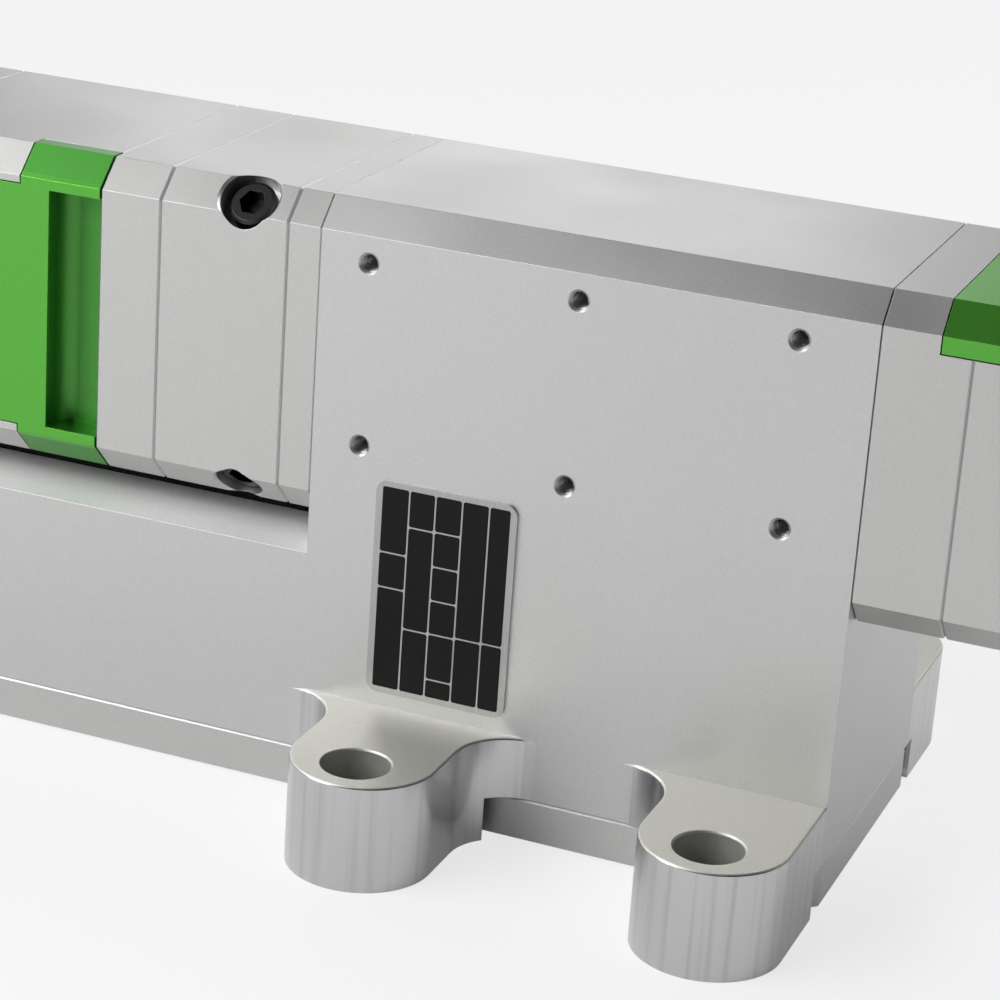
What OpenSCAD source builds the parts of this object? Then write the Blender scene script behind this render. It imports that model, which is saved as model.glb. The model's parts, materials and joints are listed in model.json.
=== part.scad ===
// Laser cutting head, lying on its mounting face.
// X runs along the optical axis towards the nozzle, Z points up from the mounting plane,
// and the origin is the middle of the four mounting lugs. Sizes are in millimetres.

/* [Section] */
// Width and height of the square section
section = 53; // [50:0.5:60]
// Cut along the long edges of the section
edge_chamfer = 4.6; // [3:0.1:5]
// Height of the optical axis above the mounting plane
axis_h = 74.5; // [74:0.5:80]
// Small chamfer at the ends of each stacked block
seam = 0.3; // [0.1:0.05:0.5]

/* [Main body] */
// Length of the full-height block
block_l = 90.4; // [90:0.2:100]
// Length of the whole base, the block included
base_l = 172; // [172:1:190]
// Gap between the shelf and the stacked blocks above it
shelf_gap = 6; // [5.5:0.5:7]
// Side and end walls of the drive chamber
wall = 6; // [5:0.5:6.5]
// Roof of the drive chamber
roof = 4; // [3:0.5:5]
// Bore in which the focus lens moves
bore_d = 40; // [40:0.5:42]

/* [Mounting lugs] */
// Distance between lug holes along the axis
lug_pitch_x = 58.3; // [56:0.1:62]
// Distance between lug holes across the axis
lug_pitch_y = 96.8; // [94:0.2:100]
// Width of a lug, also twice its tip radius
lug_w = 24; // [22:0.5:26]
// Thickness of a lug
lug_t = 18; // [14:0.5:20]
// Reach of a lug beyond the side face
lug_reach = 30.5; // [29:0.5:34]
// Bolt hole in a lug
lug_hole_d = 11; // [8:0.5:13]
// Concave fillet where a lug meets the side face
lug_fillet = 9.7; // [6:0.1:10]
// Chamfer along a lug's upper edges
lug_edge = 0.3; // [0.1:0.1:1]

/* [Accessory holes] */
// Pitch of the tapped holes along the axis
tap_pitch_x = 35; // [30:1:36]
// Pitch of the tapped holes across the axis
tap_pitch_z = 30; // [26:1:30]
// Bore of a tapped hole
tap_d = 3; // [2.5:0.5:4]
// Depth of a tapped hole
tap_depth = 7; // [4:0.5:7]
// Place of the hole pattern's middle along the axis
tap_x = -6; // [-10:0.5:-4]
// Height of the hole pattern's middle above the axis
tap_lift = 2.5; // [1.5:0.5:3.5]
// Countersink at the mouth of a tapped hole
tap_sink = 0.3; // [0.1:0.1:0.5]

/* [Back cover] */
// Thickness of the back cover
cover_t = 7.2; // [5:0.1:8]
// Height of the cover above the mounting plane
cover_gap = 0.3; // [0.1:0.1:1]
// Room between the cover and each lug
cover_room = 3; // [1:0.5:4]
// Cut along the cover's upper edges
cover_edge = 0.5; // [0.2:0.1:1]

/* [Data plate] */
// Width of the data plate
plate_w = 24.2; // [18:0.2:28]
// Height of the data plate
plate_h = 36.5; // [30:0.5:38]
// Thickness of the data plate
plate_t = 0.5; // [0.3:0.1:1]
// Corner radius of the data plate
plate_r = 2; // [1:0.5:4]
// Middle of the data plate along the axis
plate_x = -25.3; // [-28:0.1:-22]
// Middle of the data plate above the mounting plane
plate_z = 38.95; // [37:0.05:42]

/* [Stacked blocks] */
// Length of the spacer plate
spacer_l = 5.85; // [4:0.05:8]
// Length of the centring block
centring_l = 22.5; // [21:0.5:26]
// Length of the ring block
ring_l = 10.8; // [8:0.2:14]
// Length of each drawer bay
bay_l = 14.9; // [14.7:0.1:17]
// Length of the fibre end block, its bay included
fibre_block_l = 42.5; // [40:0.5:50]
// Length of the seal block
seal_l = 14.1; // [12:0.1:18]
// Length of the gas block
gas_l = 22; // [20:0.5:28]
// Clear beam bore through the blocks
beam_d = 26; // [22:0.5:27]
// Tie screws: thread diameter
tie_d = 4; // [3:0.5:4]
// Tie screws: the smaller offset from the axis
tie_near = 14; // [13.5:0.1:14.2]
// Tie screws: the larger offset from the axis
tie_far = 22.2; // [22:0.1:22.4]

/* [Drawers] */
// Thickness of a drawer front
front_t = 7.3; // [6.5:0.1:7.6]
// Gap round a drawer front
front_gap = 0.2; // [0.1:0.05:0.4]
// Overlap of a drawer front on the block beside it
wing_l = 5.05; // [3:0.05:7]
// Width of the upper drawer's overlap
wing_w = 41; // [38:0.5:43]
// Thickness of a drawer tray
tray_t = 10; // [9.6:0.1:10.4]
// Width of a drawer tray
tray_w = 36; // [34:0.5:37]
// Sliding gap round a tray
tray_gap = 0.15; // [0.1:0.05:0.3]
// Diameter of the protective window
window_d = 27.9; // [27:0.1:28.5]
// Thickness of the protective window
window_t = 4.1; // [3:0.1:4.5]
// Length of the finger recess across the front
recess_w = 40.4; // [34:0.2:42]
// Width of the finger recess
recess_l = 9.45; // [8:0.05:11]
// Depth of the finger recess
recess_depth = 5.7; // [4:0.1:6]

/* [Centring] */
// Travel of each centring slide either way
centring_travel = 0.8; // [0.4:0.1:0.8]
// Access hole of an adjusting screw
adjust_hole_d = 8; // [7.5:0.1:8.2]
// Countersink at the rim of an access hole
adjust_rim = 0.4; // [0.1:0.1:0.6]
// Adjusting screws: place along the axis from the block's right face
adjust_in = 8; // [7:0.5:10]
// Thread diameter of an adjusting screw
adjust_d = 4; // [3:0.5:4]

/* [Lenses] */
// Diameter of the collimating and focusing lenses
lens_d = 28; // [26:0.5:28.5]
// Greatest thickness of a lens
lens_t = 7; // [5:0.5:8]
// Radius of a lens's curved face
lens_r = 52; // [40:1:80]

/* [Focus drive] */
// Gap between the motor and the back cover
motor_room = 1; // [0.5:0.1:1.5]
// Gap between the motor and the chamber's roof
motor_head = 1.5; // [1:0.1:2]
// Travel of the focus lens either way
focus_travel = 8.5; // [4:0.5:8.5]
// Length of the focus carriage
carriage_l = 24; // [20:0.5:26]
// Length of the focus lens cell
cell_l = 28; // [24:0.5:32]
// Diameter of the lead screw
screw_d = 6; // [5.5:0.5:7]
// Diameter of the motor shaft and the screw's ends
journal_d = 5; // [4:0.5:5]
// Length of the motor
motor_l = 45; // [36:1:46]
// Distance between the guide rails
rail_pitch = 27; // [26:0.5:28]
// Running gap of screws, shafts and guides
running = 0.05; // [0.02:0.01:0.1]
// Gap of pieces that are fixed in each other
seat_play = 0.02; // [0.01:0.01:0.05]

/* [Fibre receptacle] */
// Length of the receptacle's square flange
flange_l = 8; // [7:0.5:12]
// Diameter of the receptacle's barrel
barrel_d = 40; // [36:0.5:42]
// Length of the receptacle's barrel
barrel_l = 26; // [24:1:34]
// Bore that takes the fibre connector
socket_d = 25; // [20:0.5:28]
// Depth of the connector bore
socket_l = 30; // [24:1:36]
// Outer diameter of the locking ring
lock_d = 46; // [44:0.5:50]
// Length of the locking ring
lock_l = 18; // [14:0.5:20]

/* [Nozzle end] */
// Diameter of the sensor mount
mount_d = 44; // [42:0.5:45]
// Length of the sensor mount
mount_l = 10; // [8:0.5:14]
// Length of the sensor body
sensor_l = 34; // [30:1:40]
// Diameter of the sensor's nose
sensor_nose_d = 32; // [30:0.5:34]
// Outer diameter of the ceramic's nut
nut_d = 38; // [36:0.5:42]
// Length of the ceramic's nut
nut_l = 14; // [12:0.5:18]
// Diameter of the ceramic ring
ceramic_d = 27; // [25:0.5:28]
// Length of the nozzle beyond the ceramic
nozzle_l = 15; // [12:0.5:20]
// Orifice of the nozzle
orifice_d = 2; // [1:0.5:4]
// Gas tube that the inlet takes
gas_tube_d = 8; // [6:0.5:10]

/* [Hidden] */
$fn = 64;
half = section / 2;
stack_z = axis_h - half;
shelf_h = stack_z - shelf_gap;
tap_z = axis_h + tap_lift;
cover_top = cover_gap + cover_t;
past = 1;

// Ends and seams along X
block_x1 = lug_pitch_x / 2 + lug_w / 2;
block_x0 = block_x1 - block_l;
base_x0 = block_x1 - base_l;
spacer_x0 = block_x0 - spacer_l;
centring_x0 = spacer_x0 - centring_l;
ring_x0 = centring_x0 - ring_l;
bay_x0 = ring_x0 - bay_l;
fibre_x0 = ring_x0 - fibre_block_l;
flange_x0 = fibre_x0 - flange_l;
barrel_x0 = flange_x0 - barrel_l;
seal_x1 = block_x1 + seal_l;
window_x1 = seal_x1 + bay_l;
gas_x1 = window_x1 + gas_l;
mount_x1 = gas_x1 + mount_l;
sensor_x1 = mount_x1 + sensor_l;

// Drive chamber and what hangs in it
chamber_y = half - wall;
chamber_top = shelf_h - roof;
chamber_x0 = base_x0 + wall;
chamber_x1 = block_x1 - wall;
motor_w = chamber_top - cover_top - motor_room - motor_head;
drive_z = cover_top + motor_room + motor_w / 2;
motor_back = 5;
motor_x0 = chamber_x0 + motor_back;
web_x0 = motor_x0 + motor_l;
web_t = 5;
pilot_d = motor_w - 6;
pilot_l = 2;
motor_hole_pitch = motor_w - 5;
motor_screw_d = 2.5;
motor_screw_head = 1.8 * motor_screw_d;
motor_screw_grip = 5;
coupling_d = 16;
coupling_l = 22;
coupling_x0 = web_x0 + web_t + 3;
coupling_x1 = coupling_x0 + coupling_l;
coupling_mid = (coupling_x0 + coupling_x1) / 2;
bearing_t = 8;
bearing_d = 11;
bearing_l = 5;
bearing_lip_d = bearing_d - 3;
left_bearing_x = coupling_x1 + 2;
right_bearing_x = chamber_x1 - 4 - bearing_t;
focus_x = (left_bearing_x + bearing_t + right_bearing_x) / 2;
carriage_t = motor_w / 7;
carriage_room = 1;
carriage_w = 2 * (chamber_y - carriage_room);
nut_body_d = screw_d + 4;
nut_flange_d = nut_body_d + 1;
nut_flange_t = 3;
nut_gap = 0.5;
guide_h = chamber_top - drive_z - nut_body_d / 2 - nut_gap - carriage_t;
guide_w = carriage_w - rail_pitch;
guide_lift = guide_h / 4;
guide_bottom = chamber_top - guide_h;
rail_w = 5;
rail_h = 0.6 * guide_h;
carriage_z = guide_bottom - carriage_t;
arm_l = carriage_l - 4;
arm_w = 13;
roof_slot_w = arm_w + 2;
roof_slot_l = arm_l + 2 * focus_travel + 3;
nut_block_w = 17;
nut_block_z = drive_z - nut_body_d / 2 - 2.5;
cell_d = bore_d - 1.4;
cell_flat = 18;
lens_play = 0.05;
lens_aperture = lens_d - 4;
// Fall of a lens's curved face where its retainer touches it
lens_rim = lens_r - sqrt(lens_r * lens_r - lens_aperture * lens_aperture / 4);
retainer_t = 3;
flag_t = 1;
flag_y = chamber_y - 3.5;
bearing_w = 2 * flag_y;
flag_l = 6;
flag_h = 8;
fork_gap = 3;
fork_l = 6;
fork_h = 10;
fork_t = 1.5;
rail_x0 = left_bearing_x + bearing_t + fork_l + 0.5;
rail_x1 = right_bearing_x - past;

// Centring slides: a is the near lower diagonal, b the near upper one
angle_a = 135;
angle_b = 45;
adjust_x = spacer_x0 - adjust_in;
corner_reach = (section - edge_chamfer) / sqrt(2);
adjust_sink = 1.5;
adjust_head_l = 3.7;
adjust_seat = corner_reach - adjust_sink - adjust_head_l;
adjust_head_d = adjust_hole_d - 0.2;
adjust_head_edge = 0.5;
socket_hex = 4;
socket_hex_depth = 2.6;
slide_gap = 0.1;
centring_wall = 2.5;
slide_lip = 1.5;
slide_t = centring_l - centring_wall - 2 * slide_gap;
cell_b_r = lens_d / 2 + 2.5;
cell_b_flat = cell_b_r - 1;
cell_b_room_r = cell_b_r + centring_travel + 0.6;
slide_r = cell_b_room_r + 4.4;
slide_flat = cell_b_room_r + 2;
pocket_r = slide_r + centring_travel + 0.3;
screw_tip_a = cell_b_flat + centring_travel + 2.3;
screw_tip_b = lens_d / 2;
screw_room = 0.3;
screw_sway = 2 * (centring_travel + screw_room);

// Drawers
front_back = half - front_t;
bay_floor = front_back - front_gap;
recess_corner = 2.8;
tray_u = (bay_l - tray_t) / 2;
tray_seat = 3.2;
window_play = 0.1;
window_aperture = window_d - 4;
seal_ring_r = 15.5;
seal_ring_d = 1.4;

// Bores of the stacked blocks
centring_bore_d = lens_d + 4;
seal_bore_d = lens_d + 2;
slide_bore_d = lens_d - 1;
connector_exit_d = beam_d - 6;

// Fasteners
tie_play = 0.2;
// Hexagon sockets across their corners, as shares of the thread
cap_hex = 0.9;
sunk_hex = 0.75;
tie_head_d = 7;
tie_head_l = tie_d;
tie_grip = 10;
tie_recess = 4.6;
cover_screw_d = 3;
cover_screw_head = 5.6;
cover_screw_grip = 8;
cover_screw_y = half - wall / 2;
cover_screws = 5;
cover_screw_inset = 8;
strip_w = 19;
strip_inset = 4;

// Nozzle end
gas_exit_d = 22;
sensor_exit_d = 14;
mount_screw_d = 3;
mount_screw_head = 5.5;
mount_screw_ring = mount_d / 2 - 5;
sensor_neck_d = gas_exit_d + 4;
sensor_neck_l = 6;
sensor_d = mount_d - 4;
sensor_taper_l = 6;
sensor_mouth_d = gas_exit_d - 2;
nut_overlap = 4;
ceramic_l = 12;
ceramic_flange_l = ceramic_l / 3;
ceramic_root_d = ceramic_d - 5;
ceramic_tip_d = ceramic_d - 9;
nut_mouth_d = ceramic_d - 4;
nut_cone_l = 3;
ceramic_bore_d = 12;
nozzle_collar_d = 18;
nozzle_collar_l = 6;
nozzle_cone_d = nozzle_collar_d - 2;
nozzle_tip_d = 5;
nozzle_lip_l = 2;
nozzle_mouth_d = 8;
nozzle_shank_l = 8;
gas_x = window_x1 + gas_l / 2;
gas_port_d = 11.5;
gas_port_l = 6;
gas_collar_d = gas_tube_d + 6;
gas_hex_d = gas_collar_d + 2;
gas_hex_l = 7;
gas_release_d = gas_tube_d + 4;
gas_release_l = 3;
gas_fitting_l = 22;
gas_tube_l = 14;
sensor_plug_x = mount_x1 + 10;
sensor_plug_d = 9;
sensor_plug_l = 16;
sensor_plug_sink = 8;
plug_hex_d = sensor_plug_d + 4;
plug_hex_z = 6;
plug_hex_l = 3;
plug_socket_d = sensor_plug_d - 3;
plug_socket_l = 6;
drive_plug_d = 16;
drive_plug_l = 12;
drive_plug_flange = 22;
drive_flange_t = 2;
drive_shell_d = drive_plug_d - 1;
drive_socket_d = drive_plug_d - 4;
cap_l = 8;
cap_d = lock_d - 2;
cap_edge = 1;
lock_skirt_d = lock_d - 3;
lock_gap = 0.3;
lock_room = 1;
flutes = 24;
flute_d = 3;

alu = "#c4c4c2";
green = "#64b250";
black = "#1d1d1f";
steel = "#9a9c9e";
dark_steel = "#4a4b4d";
brass = "#c09a4a";
copper = "#b8733f";
glass = "#cfe6ea";
white = "#efede6";

// Shared shapes

// Square outline with cut corners
function cut_square(w, c) = [
    [-w / 2, -w / 2 + c], [-w / 2 + c, -w / 2], [w / 2 - c, -w / 2], [w / 2, -w / 2 + c],
    [w / 2, w / 2 - c], [w / 2 - c, w / 2], [-w / 2 + c, w / 2], [-w / 2, w / 2 - c]
];

// Extrusion along X of an outline drawn in Y and Z about the optical axis
module run_x(x0, x1) {
    translate([x0, 0, axis_h]) rotate([90, 0, 90]) linear_extrude(x1 - x0) children();
}

// Block of the stack, with a small chamfer at both ends
module bar(x0, x1) {
    hull() {
        run_x(x0 + seam, x1 - seam) polygon(cut_square(section, edge_chamfer));
        run_x(x0, x1) polygon(cut_square(section - 2 * seam, edge_chamfer));
    }
}

// Round rod along X
module rod(x0, x1, d, y = 0, z = axis_h) {
    translate([x0, y, z]) rotate([0, 90, 0]) cylinder(h = x1 - x0, d = d);
}

// Cone along X
module cone(x0, x1, d0, d1) {
    translate([x0, 0, axis_h]) rotate([0, 90, 0]) cylinder(h = x1 - x0, d1 = d0, d2 = d1);
}

// Box from its lowest corner to its highest
module box(low, high) {
    translate(low) cube(high - low);
}

// Copies on the four corners of a rectangle across the optical axis
module four(y, z) {
    for (sy = [-1, 1], sz = [-1, 1]) translate([0, sy * y, sz * z]) children();
}

module left_ties() { four(tie_near, tie_far) children(); }
module right_ties() { four(tie_far, tie_near) children(); }

// Places children on a diagonal across the axis, Z pointing outwards
module on_diagonal(angle) {
    translate([adjust_x, 0, axis_h]) rotate([angle, 0, 0]) children();
}

// Frame of a drawer bay: X along the bay, Z the way the drawer is pulled
module in_upper_bay() { translate([bay_x0, 0, axis_h]) rotate([90, 0, 0]) children(); }
module in_lower_bay() { translate([seal_x1, 0, axis_h]) children(); }

// Socket head cap screw along X, its head at x towards the side given
module cap_screw_x(x, length, d, head_d, head_l, side) {
    x_end = x - side * length;
    x_top = x + side * head_l;
    difference() {
        union() {
            rod(min(x, x_end), max(x, x_end), d);
            rod(min(x, x_top), max(x, x_top), head_d);
        }
        translate([x_top, 0, axis_h]) rotate([0, 90, 0])
            cylinder(h = head_l, d = cap_hex * d, center = true, $fn = 6);
    }
}

// Plano-convex lens, its flat side at X = 0 and its curved side towards +X
module lens() {
    intersection() {
        rotate([0, 90, 0]) cylinder(h = lens_t, d = lens_d);
        translate([lens_t - lens_r, 0, 0]) sphere(r = lens_r, $fn = 96);
    }
}

// Ring along X
module ring(x0, x1, outer, inner) {
    difference() {
        rod(x0, x1, outer);
        rod(x0 - past, x1 + past, inner);
    }
}

// Main body

// One lug, its root on the side face and its tip along +Y, with its upper edges broken
module lug(left_fillet, right_fillet) {
    tip = lug_reach - lug_w / 2;
    edge_z = lug_t - lug_edge;
    difference() {
        union() {
            translate([0, tip, 0]) rotate([90, 0, 0]) linear_extrude(tip + wall) polygon([
                [-lug_w / 2, 0], [lug_w / 2, 0], [lug_w / 2, edge_z],
                [lug_w / 2 - lug_edge, lug_t], [lug_edge - lug_w / 2, lug_t], [-lug_w / 2, edge_z]
            ]);
            translate([0, tip, 0]) cylinder(h = edge_z, d = lug_w);
            translate([0, tip, edge_z]) cylinder(h = lug_edge, d1 = lug_w, d2 = lug_w - 2 * lug_edge);
            if (left_fillet) mirror([1, 0, 0]) root_fillet();
            if (right_fillet) root_fillet();
        }
        translate([0, lug_pitch_y / 2 - half, 0]) edged_hole(lug_hole_d / 2);
    }
}

// Round cut through a lug's thickness that widens at the upper edge
module edged_hole(r) {
    translate([0, 0, -past]) cylinder(h = lug_t + 2 * past, r = r);
    translate([0, 0, lug_t - lug_edge]) cylinder(h = 2 * lug_edge, r1 = r, r2 = r + 2 * lug_edge);
}

// Concave fillet at the lug's right side
module root_fillet() {
    translate([lug_w / 2, 0, 0]) difference() {
        translate([-past, -past, 0]) cube([lug_fillet + past, lug_fillet + past, lug_t]);
        translate([lug_fillet, lug_fillet, 0]) edged_hole(lug_fillet);
    }
}

module lugs() {
    for (side = [0, 1]) mirror([0, side, 0]) for (end = [-1, 1])
        translate([end * lug_pitch_x / 2, half, 0]) lug(true, end < 0);
}

module tapped_holes() {
    for (i = [-1, 0, 1], k = [-1, 1])
        translate([tap_x + i * tap_pitch_x, -half, tap_z + k * tap_pitch_z / 2]) rotate([-90, 0, 0]) {
            translate([0, 0, -past]) cylinder(h = tap_depth + past, d = tap_d);
            translate([0, 0, -tap_sink]) cylinder(h = 2 * tap_sink, d1 = tap_d + 4 * tap_sink, d2 = tap_d);
        }
}

module cover_screw_places() {
    span = base_l - 2 * cover_screw_inset;
    for (i = [0 : cover_screws - 1], side = [-1, 1])
        translate([base_x0 + cover_screw_inset + i * span / (cover_screws - 1), side * cover_screw_y, 0])
            children();
}

// Roomy drive chamber, divided by the web that carries the motor
module drive_chamber() {
    difference() {
        box([chamber_x0, -chamber_y, cover_top - past], [chamber_x1, chamber_y, chamber_top]);
        box([web_x0, -half, 0], [web_x0 + web_t, half, shelf_h]);
    }
    rod(web_x0 - past, web_x0 + web_t + past, pilot_d + 2 * running, 0, drive_z);
    motor_screw_places() rod(web_x0 - past, web_x0 + web_t + past, motor_screw_d + tie_play, 0, drive_z);
}

module motor_screw_places() { four(motor_hole_pitch / 2, motor_hole_pitch / 2) children(); }

module main_body() {
    color(alu) difference() {
        union() {
            box([base_x0, -half, cover_top], [block_x1, half, shelf_h]);
            box([block_x0, -half, cover_top], [block_x1, half, axis_h]);
            run_x(block_x0, block_x1) polygon([
                [-half, -half], [half, -half], [half, half - edge_chamfer],
                [half - edge_chamfer, half], [edge_chamfer - half, half], [-half, half - edge_chamfer]
            ]);
            lugs();
        }
        box([base_x0 - past, -half - cover_room, -past], [block_x1 + past, half + cover_room, cover_top]);
        rod(block_x0 - past, block_x1 + past, bore_d);
        drive_chamber();
        box([focus_x - roof_slot_l / 2, -roof_slot_w / 2, chamber_top - past],
            [focus_x + roof_slot_l / 2, roof_slot_w / 2, axis_h]);
        tapped_holes();
        cover_screw_places() translate([0, 0, cover_top - past])
            cylinder(h = cover_screw_grip + past, d = cover_screw_d + tie_play);
        left_ties() rod(block_x0 - past, block_x0 + tie_grip + past, tie_d + tie_play);
        right_ties() rod(block_x1 - tie_grip - past, block_x1 + past, tie_d + tie_play);
        rod(base_x0 - past, chamber_x0 + past, drive_plug_d + tie_play, 0, drive_z);
    }
}

module back_cover() {
    corner = 1.5;
    color(alu) difference() {
        hull() {
            cover_slab(cover_gap, cover_top - cover_edge, 0, corner);
            cover_slab(cover_gap, cover_top, cover_edge, corner);
        }
        cover_screw_places() translate([0, 0, -past])
            cylinder(h = cover_top + 2 * past, d = cover_screw_d + tie_play);
        cover_screw_places() countersink(tie_play);
    }
}

// Layer of the cover, drawn in by a margin, with its corners cut
module cover_slab(z0, z1, margin, corner) {
    x0 = base_x0 + margin;
    x1 = block_x1 - margin;
    y = half - margin;
    translate([0, 0, z0]) linear_extrude(z1 - z0) polygon([
        [x0 + corner, -y], [x1 - corner, -y], [x1, corner - y], [x1, y - corner],
        [x1 - corner, y], [x0 + corner, y], [x0, y - corner], [x0, corner - y]
    ]);
}

// Cone of a countersunk head, its wide end on the cover's underside
module countersink(play) {
    deep = (cover_screw_head - cover_screw_d) / 2;
    translate([0, 0, cover_gap])
        cylinder(h = deep, d1 = cover_screw_head + play, d2 = cover_screw_d + play);
}

module back_cover_screws() {
    color(dark_steel) cover_screw_places() difference() {
        union() {
            countersink(0);
            translate([0, 0, cover_gap])
                cylinder(h = cover_t + cover_screw_grip - past, d = cover_screw_d);
        }
        translate([0, 0, cover_gap - past])
            cylinder(h = past + cover_screw_d / 2, d = sunk_hex * cover_screw_d, $fn = 6);
    }
}

module data_plate() {
    color(steel) translate([plate_x, -half, plate_z]) rotate([90, 0, 0]) linear_extrude(plate_t) union() {
        square([plate_w - 2 * plate_r, plate_h], center = true);
        square([plate_w, plate_h - 2 * plate_r], center = true);
        for (sx = [-1, 1], sz = [-1, 1])
            translate([sx * (plate_w / 2 - plate_r), sz * (plate_h / 2 - plate_r)]) circle(r = plate_r);
    }
}

module stack_support_strip() {
    color(black) box([base_x0 + strip_inset, -strip_w / 2, shelf_h],
        [block_x0 - strip_inset, strip_w / 2, stack_z]);
}

// Left stack

module spacer_plate() {
    color(alu) difference() {
        bar(spacer_x0, block_x0);
        rod(spacer_x0 - past, block_x0 + past, centring_bore_d);
        left_ties() rod(spacer_x0 - past, block_x0 + past, tie_d + tie_play);
    }
}

// Round blank with two flats, drawn about the diagonal frame: flats across local Y or across Z
module flatted(r, flat, across_y) {
    intersection() {
        circle(r = r);
        if (across_y) square([2 * r + past, 2 * flat], center = true);
        else square([2 * flat, 2 * r + past], center = true);
    }
}

// Extrusion along X of an outline whose first axis is the near lower diagonal
module run_diagonal(x0, x1) {
    translate([x0, 0, axis_h]) rotate([angle_a - 90, 0, 0]) rotate([0, 90, 0]) rotate([0, 0, 90])
        mirror([1, 0, 0]) linear_extrude(x1 - x0) children();
}

// Stepped hole of an adjusting screw, its rim broken where it meets the cut edge
module access_hole(seat, head_d, shank_d) {
    translate([0, 0, seat]) cylinder(h = half, d = head_d);
    cylinder(h = section, d = shank_d);
    translate([0, 0, corner_reach - adjust_rim])
        cylinder(h = 2 * adjust_rim, d1 = head_d, d2 = head_d + 4 * adjust_rim);
}

module centring_block() {
    color(alu) difference() {
        bar(centring_x0, spacer_x0);
        run_diagonal(centring_x0 - past, spacer_x0 - centring_wall)
            flatted(pocket_r, slide_flat + running, true);
        rod(centring_x0, spacer_x0 + past, centring_bore_d);
        left_ties() rod(centring_x0 - past, spacer_x0 + past, tie_d + tie_play);
        on_diagonal(angle_a) access_hole(adjust_seat, adjust_hole_d, adjust_d + 2 * running);
        on_diagonal(angle_b)
            access_hole(adjust_seat - slide_gap, adjust_head_d + screw_sway, adjust_d + screw_sway);
    }
}

module ring_block() {
    color(alu) difference() {
        bar(ring_x0, centring_x0);
        rod(ring_x0 - past, centring_x0 + past, lens_d);
        left_ties() rod(ring_x0 - past, centring_x0 + past, tie_d + tie_play);
    }
}

// Ring groove in a bay's side wall, opening towards +X or -X
module seal_groove(x, side) {
    depth = seal_ring_d + running;
    x0 = min(x, x + side * depth);
    translate([x0, 0, 0]) rotate([0, 90, 0]) difference() {
        cylinder(h = depth, r = seal_ring_r + depth / 2);
        translate([0, 0, -past]) cylinder(h = depth + 2 * past, r = seal_ring_r - depth / 2);
    }
}

// Room that a bay leaves for the tray and the seals beside it
module tray_room() {
    u0 = tray_u - tray_gap;
    u1 = tray_u + tray_t + tray_gap;
    v = tray_w / 2 + tray_gap;
    box([u0, -v, -v], [u1, v, half + past]);
    seal_groove(u0, -1);
    seal_groove(u1, 1);
}

module fibre_end_block() {
    color(alu) difference() {
        bar(fibre_x0, ring_x0);
        rod(fibre_x0 - past, ring_x0 + past, beam_d);
        in_upper_bay() {
            tray_room();
            box([0, -half - past, bay_floor], [bay_l + past, half + past, half + past]);
            box([-wing_l, -wing_w / 2 - front_gap, bay_floor], [past, wing_w / 2 + front_gap, half + past]);
        }
        left_ties() rod(fibre_x0 - past, ring_x0 + past, tie_d + tie_play);
    }
}

module left_tie_screws() {
    head_x = flange_x0 + tie_recess;
    color(dark_steel) left_ties()
        cap_screw_x(head_x, block_x0 + tie_grip - head_x, tie_d, tie_head_d, tie_head_l, -1);
}

module fibre_receptacle() {
    color(alu) difference() {
        union() {
            bar(flange_x0, fibre_x0);
            rod(barrel_x0, flange_x0 + past, barrel_d);
        }
        rod(barrel_x0 - past, barrel_x0 + socket_l - cap_l, socket_d);
        rod(barrel_x0 - past, fibre_x0 + past, connector_exit_d);
        left_ties() rod(flange_x0 - past, fibre_x0 + past, tie_d + tie_play);
        left_ties() rod(flange_x0 - past, flange_x0 + tie_recess, tie_head_d + tie_play);
    }
}

module receptacle_end_cap() {
    color(black) difference() {
        union() {
            rod(barrel_x0 - cap_l + cap_edge, barrel_x0, cap_d);
            cone(barrel_x0 - cap_l, barrel_x0 - cap_l + cap_edge, cap_d - 2 * cap_edge, cap_d);
        }
        rod(barrel_x0 - cap_l - past, barrel_x0 + past, socket_d);
    }
}

module locking_ring() {
    x1 = flange_x0 - lock_room;
    x0 = barrel_x0 + lock_gap;
    grip_x0 = (x0 + x1 - lock_l) / 2;
    color(black) difference() {
        union() {
            rod(x0, x1, lock_skirt_d);
            rod(grip_x0, grip_x0 + lock_l, lock_d);
        }
        rod(x0 - past, x1 + past, barrel_d + 4 * running);
        for (i = [0 : flutes - 1])
            translate([grip_x0 - past, 0, axis_h]) rotate([i * 360 / flutes, 0, 0])
                translate([0, 0, lock_d / 2 + flute_d / 4]) rotate([0, 90, 0])
                    cylinder(h = lock_l + 2 * past, d = flute_d);
    }
}

// Right stack

module seal_block() {
    color(alu) difference() {
        bar(block_x1, seal_x1);
        rod(block_x1 - past, seal_x1 + past, seal_bore_d);
        in_lower_bay() box([-wing_l, -half - past, bay_floor], [past, half + past, half + past]);
        right_ties() rod(block_x1 - past, seal_x1 + past, tie_d + tie_play);
    }
}

module window_housing() {
    color(alu) difference() {
        bar(seal_x1, window_x1);
        rod(seal_x1 - past, window_x1 + past, beam_d);
        in_lower_bay() {
            tray_room();
            box([-past, -half - past, bay_floor], [bay_l + past, half + past, half + past]);
        }
        right_ties() rod(seal_x1 - past, window_x1 + past, tie_d + tie_play);
    }
}

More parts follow.
